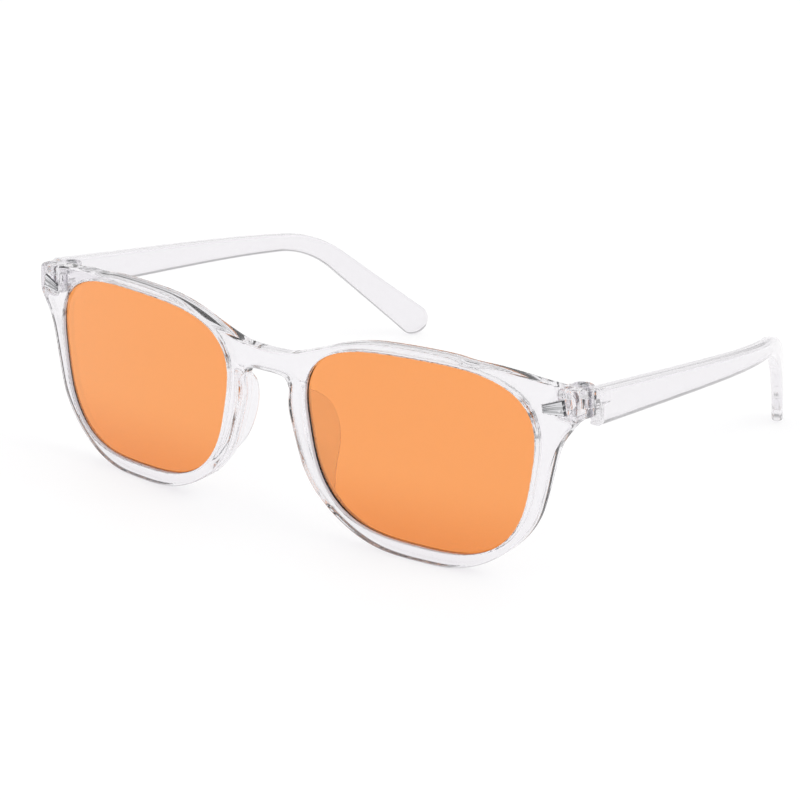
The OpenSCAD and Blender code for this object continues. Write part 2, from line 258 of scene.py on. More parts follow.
def beyond(x, y, a, b):
    """Distance past the line from a to b, to its right."""
    dx, dy = b[0] - a[0], b[1] - a[1]
    return ((x - a[0]) * dy - (y - a[1]) * dx) / math.hypot(dx, dy)


def from_hinge(x, y):
    return np.hypot(x - HINGE_X, y - HINGE_Y)


def sheet_depth(x, y):
    """Depth behind the curved sheet through the lenses' front faces."""
    return BASE_R - np.hypot(x, BASE_R - y)


def on_sheet(x, z, depth):
    """A point of the front's plan put at this depth behind the curved sheet."""
    return np.stack([x, BASE_R - np.sqrt((BASE_R - depth) ** 2 - x * x), z], -1)


def smooth_pad():
    """The pad's keys as a smooth table that rises in height, as np.interp needs."""
    before = 2 * PAD_KEYS[0] - PAD_KEYS[1]
    after = 2 * PAD_KEYS[-1] - PAD_KEYS[-2]
    return curve(np.vstack([before, PAD_KEYS, after]), 10)[::-1]


pad_table = smooth_pad()


def pad_field(x, y, z):
    """The nose pad: a thin wing from a root in the rim to a free edge that swings back."""
    root_x, edge_x, edge_y = (np.interp(z, pad_table[:, 0], pad_table[:, i]) for i in (1, 2, 3))
    dx, dy = edge_x - root_x, edge_y - PAD_ROOT_DEPTH
    share = ((x - root_x) * dx + (y - PAD_ROOT_DEPTH) * dy) / (dx * dx + dy * dy + 1e-9)
    k = np.clip(share, 0, 1)
    wing = np.hypot(x - root_x - k * dx, y - PAD_ROOT_DEPTH - k * dy) - (PAD_ROOT_R - PAD_THINNING * k)
    return np.maximum(wing * PAD_SLOPE, slab(z, PAD_KEYS[-1][0], PAD_KEYS[0][0]))


def block_field(x, y, z):
    """The end piece's return to the hinge, with its two fixed knuckles."""
    inner_x = HINGE_X - KNUCKLE_R
    block = -beyond(x, y, SHOULDER, (inner_x, INNER_START))
    block = smooth_max(block, beyond(x, y, SHOULDER, OUTER_CORNER), SHOULDER_BLEND)
    block = smooth_max(block, beyond(x, y, OUTER_CORNER, BUTT_CORNER), CORNER_BLEND)
    block = np.maximum(block, inner_x - x)
    block = rounded(block, z - (BLOCK_TOP - (y - BLOCK_FALL_FROM) * BLOCK_FALL), TOP_R)
    block = rounded(block, KNUCKLE_LOW - z, UNDER_R)
    block = rounded(block, y - BUTT_Y, FACE_R)
    neck = np.maximum(np.abs(x - HINGE_X) - KNUCKLE_R, slab(y, HINGE_Y - NECK_LEN, HINGE_Y))
    plan = np.minimum(from_hinge(x, y) - KNUCKLE_R, neck)
    knuckle = rounded(plan, slab(z, KNUCKLE_LOW, KNUCKLE_HIGH), FACE_R)
    return smooth_min(block, knuckle, KNUCKLE_BLEND)


def trim_axes(x, z):
    """Position along and across the wedge trim."""
    cos, sin = math.cos(math.radians(TRIM_TILT)), math.sin(math.radians(TRIM_TILT))
    return (x - TRIM_X) * cos + (z - TRIM_Z) * sin, (z - TRIM_Z) * cos - (x - TRIM_X) * sin


def trim_half(along):
    """Half of the trim's width, which grows towards the hinge."""
    return (TRIM_H_IN + (TRIM_H_OUT - TRIM_H_IN) * (along / TRIM_LEN + 0.5)) / 2


def groove(depth):
    """How deep the groove in the lens opening's wall is."""
    t = np.clip((depth - LENS_T / 2) / GROOVE_HALF, -1, 1)
    return GROOVE_DEPTH * np.cos(t * math.pi / 2) ** 2


def front_field(x, y, z):
    x = np.abs(x)
    depth = sheet_depth(x, y)
    body = rounded(outline_field(x, z), slab(depth, -RECESS, FRONT_T - RECESS), EDGE_R)
    body = smooth_min(body, block_field(x, y, z), BLOCK_BLEND)
    body = smooth_min(body, pad_field(x, y, z), PAD_BLEND)
    # The openings end just behind the rims, so that they don't cut the pads
    opening = np.maximum(opening_field(x, z) - groove(depth), depth - OPENING_END)
    body = smooth_max(body, -opening, OPENING_BLEND)
    r = from_hinge(x, y)
    slot = np.maximum(r - KNUCKLE_R - TURN_GAP, slab(z, SLOT_LOW, SLOT_HIGH))
    bore = r - SCREW_R - SCREW_GAP
    head_seat = np.maximum(r - HEAD_R - HEAD_GAP, KNUCKLE_HIGH - HEAD_SUNK - z)
    nut_seat = np.maximum(r - NUT_R - NUT_GAP, z - KNUCKLE_LOW - NUT_H)
    along, across = trim_axes(x, z)
    wedge = np.maximum(np.abs(along) - TRIM_LEN / 2, np.abs(across) - trim_half(along))
    pocket = np.maximum(wedge - TRIM_GAP, depth - TRIM_FLOOR)
    for hole in (slot, bore, head_seat, nut_seat, pocket):
        body = np.maximum(body, -hole)
    return smooth_max(body, -z, REST_BLEND)


# ---------------------------------------------------------------- meshing
LEAST_SLOPE, FURTHEST = 0.2, 0.6 * GRID_STEP


def surface_net(values, low, step):
    """Vertices and quads where the grid of values crosses zero."""
    cells = np.array(values.shape) - 1
    keys, points, quads = [], [], []
    for axis in range(3):
        b, c = (axis + 1) % 3, (axis + 2) % 3
        first = [slice(None)] * 3
        second = [slice(None)] * 3
        first[axis], second[axis] = slice(0, -1), slice(1, None)
        starts, ends = values[tuple(first)], values[tuple(second)]
        edge = np.argwhere((starts < 0) != (ends < 0))
        start, end = starts[tuple(edge.T)], ends[tuple(edge.T)]
        crossing = edge.astype(float)
        crossing[:, axis] += start / (start - end)
        around = []
        for back_b, back_c in ((0, 0), (1, 0), (1, 1), (0, 1)):
            cell = edge.copy()
            cell[:, b] -= back_b
            cell[:, c] -= back_c
            around.append((cell[:, 0] * cells[1] + cell[:, 1]) * cells[2] + cell[:, 2])
            keys.append(around[-1])
            points.append(crossing)
        quad = np.stack(around, 1)
        quad[start > 0] = quad[start > 0][:, ::-1]
        quads.append(quad)
    keys, points, quads = np.concatenate(keys), np.concatenate(points), np.concatenate(quads)
    names, index = np.unique(keys, return_inverse=True)
    count = np.bincount(index)
    verts = np.stack([np.bincount(index, points[:, i]) / count for i in range(3)], 1)
    return np.array(low) + verts * step, np.searchsorted(names, quads)


def gradient(field, points, reach=0.02):
    slope = np.empty_like(points)
    for i, d in enumerate(np.eye(3) * reach):
        slope[:, i] = (field(*(points + d).T) - field(*(points - d).T)) / (2 * reach)
    return slope


def settle(field, points):
    """Moves points near the field's zero surface onto it; returns them and the slope there.

    A weak slope counts as LEAST_SLOPE and a move is at most FURTHEST, so that no point flies off.
    """
    for _ in range(3):
        slope = gradient(field, points)
        move = -(field(*points.T) / np.maximum((slope * slope).sum(1), LEAST_SLOPE))[:, None] * slope
        size = np.linalg.norm(move, axis=1, keepdims=True)
        points = points + move * np.minimum(1, FURTHEST / np.maximum(size, 1e-9))
    return points, gradient(field, points)


def grid_axes(low, high):
    count = np.ceil((np.array(high) - low) / GRID_STEP).astype(int) + 1
    return [low[i] + GRID_STEP * np.arange(count[i]) for i in range(3)]


def make_object(name, verts, faces, material, normals=None, smooth=True):
    mesh = bpy.data.meshes.new(name)
    mesh.from_pydata(metres(verts).tolist(), [], [list(map(int, f)) for f in faces])
    mesh.validate()
    mesh.update()
    mesh.polygons.foreach_set("use_smooth", [smooth] * len(mesh.polygons))
    if normals is not None:
        length = np.maximum(np.linalg.norm(normals, axis=1, keepdims=True), 1e-9)
        mesh.normals_split_custom_set_from_vertices((normals / length).tolist())
    ob = bpy.data.objects.new(name, mesh)
    bpy.context.scene.collection.objects.link(ob)
    mesh.materials.append(material)
    return ob


def sided(side, verts, faces, normals=None):
    """The left piece's mesh as it is, or mirrored for the right side."""
    if side == "left":
        return verts, faces, normals
    flip = np.array([-1, 1, 1])
    return np.asarray(verts) * flip, [f[::-1] for f in faces], None if normals is None else normals * flip


def sharpen(ob, degrees):
    """Marks edges sharper than this, so that shading breaks there."""
    ob.data.set_sharp_from_angle(angle=math.radians(degrees))


def keep(ob, body, node):
    """Lets a finished piece ride on its body and stand for its CAD node."""
    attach(ob, body)
    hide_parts(node)


# ---------------------------------------------------------------- materials
PLASTIC_IOR = 1.57
MOST_BOUNCES = 4.5
FLAWS = 0.0002           # height of ripples in moulded plastic, in metres
SCRATCHES = 0.00005      # height of scratches in metal, in metres
AMBER_SHADE_LOW, AMBER_SHADE_HIGH = 0.001, 0.019     # heights between which the painted shade on the amber fades out, in metres
FACING, TURNED = -0.93, -0.72            # a facet's direction along depth, where -1 is to the front, between which painted shade comes in on the trim's facets


def new_material(name):
    material = bpy.data.materials.new(name)
    material.use_nodes = True
    tree = material.node_tree
    return material, tree, tree.nodes["Principled BSDF"], tree.nodes["Material Output"]


def noise(tree, scale, detail, stretch=(1, 1, 1)):
    at = tree.nodes.new("ShaderNodeTexCoord")
    to = tree.nodes.new("ShaderNodeMapping")
    to.inputs["Scale"].default_value = stretch
    pattern = tree.nodes.new("ShaderNodeTexNoise")
    pattern.inputs["Scale"].default_value = scale
    pattern.inputs["Detail"].default_value = detail
    tree.links.new(at.outputs["Object"], to.inputs["Vector"])
    tree.links.new(to.outputs["Vector"], pattern.inputs["Vector"])
    return pattern.outputs["Fac"]


def ranged(tree, value, low, high, to_low=0.0, to_high=1.0, smooth=False):
    """A value running from low to high, made to run from to_low to to_high."""
    spread = tree.nodes.new("ShaderNodeMapRange")
    spread.interpolation_type = "SMOOTHSTEP" if smooth else "LINEAR"
    for name, number in (("From Min", low), ("From Max", high), ("To Min", to_low), ("To Max", to_high)):
        spread.inputs[name].default_value = number
    tree.links.new(value, spread.inputs["Value"])
    return spread.outputs["Result"]


def mixed(tree, factor, a, b):
    """A mix of a and b, each a colour or another node's output."""
    mix = tree.nodes.new("ShaderNodeMix")
    mix.data_type = "RGBA"
    for name, part in (("A", a), ("B", b)):
        if isinstance(part, tuple):
            mix.inputs[name].default_value = (*part, 1)
        else:
            tree.links.new(part, mix.inputs[name])
    tree.links.new(factor, mix.inputs["Factor"])
    return mix.outputs["Result"]


def bumped(tree, height, strength, distance):
    bump = tree.nodes.new("ShaderNodeBump")
    bump.inputs["Strength"].default_value = strength
    bump.inputs["Distance"].default_value = distance
    tree.links.new(height, bump.inputs["Height"])
    return bump.outputs["Normal"]


def coordinate(tree, kind, axis):
    """One axis of a texture coordinate."""
    at = tree.nodes.new("ShaderNodeTexCoord")
    split = tree.nodes.new("ShaderNodeSeparateXYZ")
    tree.links.new(at.outputs[kind], split.inputs["Vector"])
    return split.outputs[axis]


def end_long_paths(tree, shader):
    """Light still inside the plastic after many bounces leaves it straight on, instead of being lost."""
    path = tree.nodes.new("ShaderNodeLightPath")
    late = tree.nodes.new("ShaderNodeMath")
    late.operation = "GREATER_THAN"
    late.inputs[1].default_value = MOST_BOUNCES
    tree.links.new(path.outputs["Ray Depth"], late.inputs[0])
    tree.links.new(ranged(tree, late.outputs["Value"], 0, 1, PLASTIC_IOR, 1.0), shader.inputs["IOR"])


def let_light_through(tree, shader, out, tint):
    """Light on its way to the floor passes straight through, as it nearly does through the real piece."""
    path = tree.nodes.new("ShaderNodeLightPath")
    clear = tree.nodes.new("ShaderNodeBsdfTransparent")
    clear.inputs["Color"].default_value = (*tint, 1)
    surface = shader.outputs["BSDF"]
    for ray in ("Is Shadow Ray", "Is Diffuse Ray"):
        mix = tree.nodes.new("ShaderNodeMixShader")
        tree.links.new(path.outputs[ray], mix.inputs["Fac"])
        tree.links.new(surface, mix.inputs[1])
        tree.links.new(clear.outputs["BSDF"], mix.inputs[2])
        surface = mix.outputs["Shader"]
    tree.links.new(surface, out.inputs["Surface"])


def clear_plastic(name, dense, thin, painted_shade=None):
    """Clear moulded plastic whose faint lilac tint drifts between two colours, and which takes painted shade
    in a given dark colour where its attribute asks.
    """
    material, tree, shader, out = new_material(name)
    shader.inputs["Transmission Weight"].default_value = 1.0
    tint = mixed(tree, noise(tree, scale=40, detail=3), dense, thin)
    # Painted shade: a dark colour mixed in by a mesh attribute, in place of the dark lines that refraction
    # shows round the lens openings
    if painted_shade:
        share = tree.nodes.new("ShaderNodeAttribute")
        share.attribute_name = "painted_shade"
        tint = mixed(tree, share.outputs["Fac"], tint, painted_shade)
    ripples = noise(tree, scale=90, detail=2, stretch=(1, 1, 1.6))
    tree.links.new(tint, shader.inputs["Base Color"])
    patches = noise(tree, scale=220, detail=4)
    tree.links.new(ranged(tree, patches, 0, 1, 0.0, 0.035), shader.inputs["Roughness"])
    tree.links.new(bumped(tree, ripples, strength=0.12, distance=FLAWS), shader.inputs["Normal"])
    end_long_paths(tree, shader)
    let_light_through(tree, shader, out, (0.93, 0.925, 0.935))
    return material


def amber_plastic(name, low, high):
    """Amber lens plastic, with painted shade that makes it deeper in colour towards the table."""
    material, tree, shader, out = new_material(name)
    shader.inputs["Transmission Weight"].default_value = 1.0
    shader.inputs["IOR"].default_value = PLASTIC_IOR
    # Painted shade: the colour runs from the deeper low colour at the bottom to the high one, standing in for
    # the floor's shade seen through the lens
    up = ranged(tree, coordinate(tree, "Object", "Z"), AMBER_SHADE_LOW, AMBER_SHADE_HIGH, smooth=True)
    tree.links.new(mixed(tree, up, low, high), shader.inputs["Base Color"])
    patches = noise(tree, scale=260, detail=3)
    tree.links.new(ranged(tree, patches, 0, 1, 0.0, 0.02), shader.inputs["Roughness"])
    let_light_through(tree, shader, out, (0.96, 0.945, 0.945))
    return material


def brushed_metal(name, scale, rough, bump, color=None, dark=None):
    """Metal with fine scratches, which run between two colours where they are given."""
    material, tree, shader, _ = new_material(name)
    shader.inputs["Metallic"].default_value = 1.0
    scratches = noise(tree, scale, detail=5, stretch=(1, 6, 1))
    if color:
        tree.links.new(mixed(tree, scratches, color, dark), shader.inputs["Base Color"])
    tree.links.new(ranged(tree, scratches, 0, 1, *rough), shader.inputs["Roughness"])
    tree.links.new(bumped(tree, scratches, bump, SCRATCHES), shader.inputs["Normal"])
    return material


def metal_with_painted_facet_shade(name, face, side):
    """Bright metal with painted shade: its facets are painted darker where they turn away from the front."""
    material = brushed_metal(name, 700, (0.12, 0.22), 0.15)
    tree = material.node_tree
    # Painted shade: facets that turn away from the front take the dark side colour
    turned = ranged(tree, coordinate(tree, "Normal", "Y"), FACING, TURNED)
    tree.links.new(mixed(tree, turned, face, side), tree.nodes["Principled BSDF"].inputs["Base Color"])
    return material


# The front takes painted shade, (0.3, 0.29, 0.32), on the walls of its lens openings, standing in for the
# dark lines seen there through the plastic
front_plastic = clear_plastic("front_polycarbonate", (0.875, 0.86, 0.887), (0.905, 0.892, 0.912),
                              painted_shade=(0.3, 0.29, 0.32))
temple_plastic = clear_plastic("temple_polycarbonate", (0.848, 0.83, 0.856), (0.878, 0.863, 0.886))
# The amber's lower, deeper colour, (0.86, 0.258, 0.045), is painted shade
lens_plastic = amber_plastic("amber_polycarbonate", (0.86, 0.258, 0.045), (0.938, 0.34, 0.087))
screw_steel = brushed_metal("screw_steel", 900, (0.154, 0.286), 0.2, (0.62, 0.62, 0.64), (0.42, 0.42, 0.44))
nut_steel = brushed_metal("nut_steel", 900, (0.21, 0.39), 0.2, (0.70, 0.70, 0.72), (0.52, 0.52, 0.54))
# The trim's turned facets are painted dark, (0.12, 0.12, 0.13), as painted shade
trim_metal = metal_with_painted_facet_shade("trim_bright", (0.76, 0.76, 0.78), (0.12, 0.12, 0.13))


# ---------------------------------------------------------------- front frame
# Box that half of the front is meshed in, placed so that no flat face lies on a plane of the grid
FRONT_LOW, FRONT_HIGH = (0.0, -1.61, -0.71), (73.0, 17.5, 45.5)


def front_mesh():
    x, y, z = grid_axes(FRONT_LOW, FRONT_HIGH)
    half = front_field(x[:, None, None], y[None, :, None], z[None, None, :])
    values = np.concatenate([half[:0:-1], half])
    verts, quads = surface_net(values, (-x[-1], y[0], z[0]), GRID_STEP)
    return settle(front_field, verts) + (quads,)


# Painted shade on the lens openings' walls: its margin from the rim's faces and fade there, its reach round
# the openings and fade there
SHADE_MARGIN, SHADE_FADE, SHADE_REACH, SHADE_EDGE = 0.05, 0.3, 0.6, 0.1


def painted_shade_share(verts):
    """Share of painted shade: 1 on the walls of the lens openings and 0 elsewhere, with a soft edge."""
    x, y, z = np.abs(verts[:, 0]), verts[:, 1], verts[:, 2]
    depth = sheet_depth(x, y)
    from_face = np.clip((depth + RECESS - SHADE_MARGIN) / SHADE_FADE, 0, 1)
    from_back = np.clip((FRONT_T - RECESS - SHADE_MARGIN - depth) / SHADE_FADE, 0, 1)
    near_opening = np.clip((SHADE_REACH - opening_field(x, z)) / SHADE_EDGE, 0, 1)
    return from_face * from_back * near_opening


front_verts, front_normals, front_quads = front_mesh()
front = make_object("front_frame_moulding", front_verts, front_quads, front_plastic, front_normals)
# The share of painted shade is stored on the front's points
front.data.attributes.new("painted_shade", "FLOAT", "POINT").data.foreach_set("value", painted_shade_share(front_verts))
keep(front, "front", "front_frame")


# ---------------------------------------------------------------- lenses
LENS_TURNS = 288                                            # points round a ring
FACE_RINGS = [0.12, 0.3, 0.48, 0.64, 0.78, 0.88, 0.95]      # as shares of the way from middle to edge
EDGE_RINGS = [0.14, 0.3, 0.5, 0.7, 0.85, 1.0, 1.15, 1.3, 1.5, 1.7, 1.86]      # depths behind the face
# Gap in the groove, insets of the faces' rings and of their borders, then the edge's bevel
FIT_GAP, RING_INSET, FACE_INSET, BEVEL_INSET, BEVEL_DEPTH = 0.04, 0.3, 0.2, 0.1, 0.04


def lens_mesh():
    """Rings from the middle of the front, over the edge that fills the groove, to the back's middle."""
    deg = (np.arange(LENS_TURNS) + 0.5) * 360 / LENS_TURNS
    edge, normal = lens_point(deg), lens_normal(deg)
    middle = np.array([LENS_X, LENS_Z])
    face = [middle + (edge - RING_INSET * normal - middle) * share for share in FACE_RINGS]
    profile = ([(-FACE_INSET, 0.0), (-BEVEL_INSET, BEVEL_DEPTH)]
               + [(float(groove(depth)) - FIT_GAP, depth) for depth in EDGE_RINGS]
               + [(-BEVEL_INSET, LENS_T - BEVEL_DEPTH), (-FACE_INSET, LENS_T)])
    rings = [(ring, 0.0) for ring in face]
    rings += [(edge + out * normal, depth) for out, depth in profile]
    rings += [(ring, LENS_T) for ring in face[::-1]]
    verts = np.concatenate([on_sheet(middle[:1], middle[1:], 0.0)]
                           + [on_sheet(ring[:, 0], ring[:, 1], depth) for ring, depth in rings]
                           + [on_sheet(middle[:1], middle[1:], LENS_T)])
    faces = []
    last = 1 + (len(rings) - 1) * LENS_TURNS
    for k in range(LENS_TURNS):
        after = (k + 1) % LENS_TURNS
        faces.append([1 + k, 1 + after, 0])
        for a in range(1, last, LENS_TURNS):
            b = a + LENS_TURNS
            faces.append([b + k, b + after, a + after, a + k])
        faces.append([len(verts) - 1, last + after, last + k])
    return verts, faces


lens = lens_mesh()
for side in ("left", "right"):
    ob = make_object(f"{side}_lens_shell", *sided(side, *lens)[:2], lens_plastic)
    sharpen(ob, 35)
    keep(ob, "front", f"{side}_lens")

# ---------------------------------------------------------------- temples
SHAFT_LEN, TIP_LEN, BEND_R, SHAFT_SLOPE, TIP_SLOPE, TIP_TURN = 72.6, 28.3, 28.8, 6.2, 40.4, 27.6
TEMPLE_H, WAIST_H, TIP_H, TEMPLE_T, TIP_T = 7.6, 4.2, 7.6, 3.4, 2.6
TEMPLE_X, SHAFT_Z, TEMPLE_Y = 69.9, 36.68, BUTT_Y + 0.1
CURL_START, CURL_AT, CURL_LEN = 0.008, TEMPLE_Y + 73.2, 19.4
BEND_LEN = BEND_R * math.radians(TIP_SLOPE - SHAFT_SLOPE)
CENTRE_LEN = SHAFT_LEN + BEND_LEN + TIP_LEN
PATH_LOW, PATH_STEP = -6.0, 0.25

# Box that the straight temple is meshed in: along, outwards and upwards
TEMPLE_LOW, TEMPLE_HIGH = (-4.2, -6.2, -4.4), (CENTRE_LEN + TIP_H / 2 + 0.8, 2.5, 4.4)

# Radii of the temple's edges, of its hollow round the hinge and of the tongue, then their blends
TEMPLE_R, HOLLOW_R, TONGUE_R, LEAF_BLEND, TONGUE_BLEND = 1.05, 0.15, 0.2, 0.8, 0.3

# Tongue's leaf, from the hinge: its inner and outer sides, its length, its ramp's start and end
LEAF_IN, LEAF_OUT, LEAF_LEN, RAMP_START, RAMP_END = 0.8, 2.6, 5.5, 2.2, 2.0


def curl_angle(y):
    """How far the temple is turned inwards at this depth."""
    share = (1 + math.tanh((y - CURL_AT) / CURL_LEN)) / 2
    return math.atan(CURL_START + (math.tan(math.radians(TIP_TURN)) - CURL_START) * share)


def drop_angle(distance):
    """How far the temple points down at this distance along it."""
    bent = min(1, max(0, (distance - SHAFT_LEN) / BEND_LEN))
    return math.radians(SHAFT_SLOPE + (TIP_SLOPE - SHAFT_SLOPE) * bent)


def temple_path():
    """Centre line, outward direction and upward direction at each step of distance."""
    distances = np.arange(PATH_LOW, CENTRE_LEN + TIP_H / 2 + 3, PATH_STEP)
    x = TEMPLE_X - PATH_LOW * CURL_START
    y = TEMPLE_Y + PATH_LOW * math.cos(drop_angle(0))
    z = SHAFT_Z - PATH_LOW * math.sin(drop_angle(0))
    rows = []
    for d in distances:
        plan, drop = curl_angle(y), drop_angle(d)
        rows.append([x, y, z, math.cos(plan), math.sin(plan), 0,
                     -math.sin(plan) * math.sin(drop), math.cos(plan) * math.sin(drop), math.cos(drop)])
        plan, drop = curl_angle(y + PATH_STEP / 2), drop_angle(d + PATH_STEP / 2)
        x -= PATH_STEP * math.cos(drop) * math.sin(plan)
        y += PATH_STEP * math.cos(drop) * math.cos(plan)
        z -= PATH_STEP * math.sin(drop)
    return distances, np.array(rows)


path_distances, path_rows = temple_path()


def on_temple(distance, out, up):
    """Position at a distance along the temple, outwards and upwards from its centre line."""
    row = [np.interp(distance, path_distances, path_rows[:, i]) for i in range(9)]
    return tuple(row[i] + out * row[3 + i] + up * row[6 + i] for i in range(3))


def temple_height(distance):
    """The shaft narrows to its waist, and the tip widens again."""
    past = np.clip((distance - SHAFT_LEN) / (CENTRE_LEN - SHAFT_LEN), 0, 1)
    return np.where(distance < SHAFT_LEN, TEMPLE_H + (WAIST_H - TEMPLE_H) * distance / SHAFT_LEN,
                    WAIST_H + (TIP_H - WAIST_H) * past ** 1.2)


def tongue_field(x, y, z):
    """The round tongue that turns between the knuckles, and the leaf that joins it to the temple."""
    leaf = np.maximum(slab(x, HINGE_X - LEAF_IN, HINGE_X + LEAF_OUT), slab(y, HINGE_Y, HINGE_Y + LEAF_LEN))
    ramp = beyond(x, y, (HINGE_X - LEAF_IN, HINGE_Y + RAMP_START), (HINGE_X + RAMP_END, HINGE_Y + LEAF_LEN))
    plan = smooth_min(from_hinge(x, y) - KNUCKLE_R, np.maximum(leaf, -ramp), LEAF_BLEND)
    return rounded(plan, slab(z, SLOT_LOW + TONGUE_GAP, SLOT_HIGH - TONGUE_GAP), TONGUE_R)


def temple_field(distance, out, up):
    x, y, z = on_temple(distance, out, up)
    thickness = TEMPLE_T + (TIP_T - TEMPLE_T) * np.clip(distance, 0, CENTRE_LEN) / CENTRE_LEN
    round_end = np.hypot(distance - CENTRE_LEN, up) - TIP_H / 2
    side = np.where(distance > CENTRE_LEN, round_end, np.abs(up) - temple_height(distance) / 2)
    body = rounded(side, np.abs(out) - thickness / 2, TEMPLE_R)
    body = rounded(body, TEMPLE_Y - y, FACE_R)
    r = from_hinge(x, y)
    body = rounded(body, KNUCKLE_R + TURN_GAP - r, HOLLOW_R)
    body = smooth_min(body, tongue_field(x, y, z), TONGUE_BLEND)
    return np.maximum(body, SCREW_R + SCREW_GAP - r)


def laid_along(points):
    """Points given along, outwards and upwards, put where the bent temple has them."""
    return np.stack(on_temple(*points.T), 1)


def temple_mesh():
    """The temple is meshed straight, then laid along its centre line."""
    along, out, up = grid_axes(TEMPLE_LOW, TEMPLE_HIGH)
    values = temple_field(along[:, None, None], out[None, :, None], up[None, None, :])
    verts, quads = surface_net(values, (along[0], out[0], up[0]), GRID_STEP)
    verts, slope = settle(temple_field, verts)
    reach = 0.05
    columns = [(laid_along(verts + d) - laid_along(verts - d)) / (2 * reach) for d in np.eye(3) * reach]
    bend = np.stack(columns, 2)
    normals = np.linalg.solve(np.transpose(bend, (0, 2, 1)), slope[:, :, None])[:, :, 0]
    return laid_along(verts), quads[:, ::-1], normals


temple = temple_mesh()
for side in ("left", "right"):
    verts, faces, normals = sided(side, *temple)
    keep(make_object(f"{side}_temple_arm_moulding", verts, faces, temple_plastic, normals),
         f"{side}_temple_arm", f"{side}_temple")


# ---------------------------------------------------------------- hinge screws and nuts
def lathe(profile, turns, radius=None, height=None):
    """Turns (r, z) pairs about the hinge's axis; radius and height may adjust them by angle."""
    angle = np.arange(turns) * 2 * math.pi / turns
    verts = []
    for r, z in profile:
        ring_r = radius(r, angle) if radius else np.full(turns, float(r))
        ring_z = height(ring_r, z, angle) if height else np.full(turns, float(z))
        verts.append(np.stack([ring_r * np.cos(angle), ring_r * np.sin(angle), ring_z], 1))
    faces = []
    for low in range(0, (len(profile) - 1) * turns, turns):
        high = low + turns
        for i in range(turns):
            j = (i + 1) % turns
            faces.append([low + i, low + j, high + j, high + i])
    if profile[0] != profile[-1]:
        faces.append(list(range(turns))[::-1])
        faces.append(list(range(high, high + turns)))
    return np.concatenate(verts) + [HINGE_X, HINGE_Y, 0], faces


# Screw: its thread and tip, its plain neck, its domed head and the crossed slots in it
PITCH, THREAD_LOW_R, THREAD_R, TIP_R = 0.3, 0.6, 0.69, 0.45
PLAIN_LEN, CENTRE_R, HEAD_FACE_R, DOME = 1.2, 0.02, 1.0, 0.12
CROSS_HALF, CROSS_REACH, CROSS_DEPTH, CROSS_SIDE, CROSS_END = 0.2, 0.86, 0.38, 0.06, 0.08
SCREW_END, SCREW_SEAT, SCREW_TOP = KNUCKLE_LOW + 0.2, KNUCKLE_HIGH - HEAD_SUNK, KNUCKLE_HIGH + 0.35


def cross_arm(x, y):
    """1 inside one arm of the head's crossed slots, sloping to 0 at its walls."""
    return np.clip((CROSS_HALF - x) / CROSS_SIDE, 0, 1) * np.clip((CROSS_REACH - y) / CROSS_END, 0, 1)


def slotted(r, z, angle):
    """Height of the screw's rings, of which the dome's are sunk in the crossed slots."""
    if z < SCREW_TOP - DOME:
        return np.full(len(angle), z)
    x, y = np.abs(r * np.cos(angle)), np.abs(r * np.sin(angle))
    return z - CROSS_DEPTH * np.maximum(cross_arm(x, y), cross_arm(y, x))


def screw_mesh():
    profile = [(CENTRE_R, SCREW_END), (TIP_R, SCREW_END), (THREAD_LOW_R, SCREW_END + 0.15)]
    z = SCREW_END + 0.2
    while z < SCREW_SEAT - PLAIN_LEN:
        profile += [(THREAD_LOW_R, z), (THREAD_R, z + PITCH * 0.4), (THREAD_R, z + PITCH * 0.55),
                    (THREAD_LOW_R, z + PITCH * 0.95)]
        z += PITCH
    profile += [(THREAD_R, z + 0.1), (SCREW_R, SCREW_SEAT), (HEAD_R - 0.08, SCREW_SEAT),
                (HEAD_R, SCREW_SEAT + 0.08), (HEAD_R, SCREW_TOP - 0.26), (HEAD_R - 0.05, SCREW_TOP - 0.16)]
    profile += [(r, SCREW_TOP - DOME * r * r) for r in np.linspace(HEAD_FACE_R, CENTRE_R, 22)]
    return lathe(profile, 96, height=slotted)


# Nut: bore, waist between its two knurled bands, bevels and the knurl's teeth
NUT_BORE_R, NUT_WAIST_R, NUT_BEVEL, BORE_BEVEL = 0.71, 1.16, 0.1, 0.08
BAND, WAIST_SLOPE, TEETH, TOOTH = 0.5, 0.06, 30, 0.05


def knurled(r, angle):
    """Radius of the nut's rings, toothed on its two bands."""
    cut = TOOTH * (0.5 + 0.5 * np.cos(TEETH * angle))
    return r - (cut if r > NUT_WAIST_R else 0 * angle)


def nut_mesh():
    low, high = KNUCKLE_LOW, KNUCKLE_LOW + NUT_H
    start = (NUT_BORE_R, low + BORE_BEVEL)
    profile = [start, (NUT_BORE_R + BORE_BEVEL, low), (NUT_R - NUT_BEVEL, low), (NUT_R, low + NUT_BEVEL),
               (NUT_R, low + BAND), (NUT_WAIST_R, low + BAND + WAIST_SLOPE),
               (NUT_WAIST_R, high - BAND - WAIST_SLOPE), (NUT_R, high - BAND),
               (NUT_R, high - NUT_BEVEL), (NUT_R - NUT_BEVEL, high), (NUT_BORE_R + BORE_BEVEL, high),
               (NUT_BORE_R, high - BORE_BEVEL), start]
    return lathe(profile, 180, radius=knurled)


for name, mesh, material, slot in (("hinge_screw", screw_mesh(), screw_steel, "screw_steel"),
                                   ("hinge_nut", nut_mesh(), nut_steel, "nut_steel")):
    for side in ("left", "right"):
        ob = make_object(f"{side}_{name}_turned", *sided(side, *mesh)[:2], material)
        sharpen(ob, 40)
        keep(ob, "front", f"{side}_{name}")

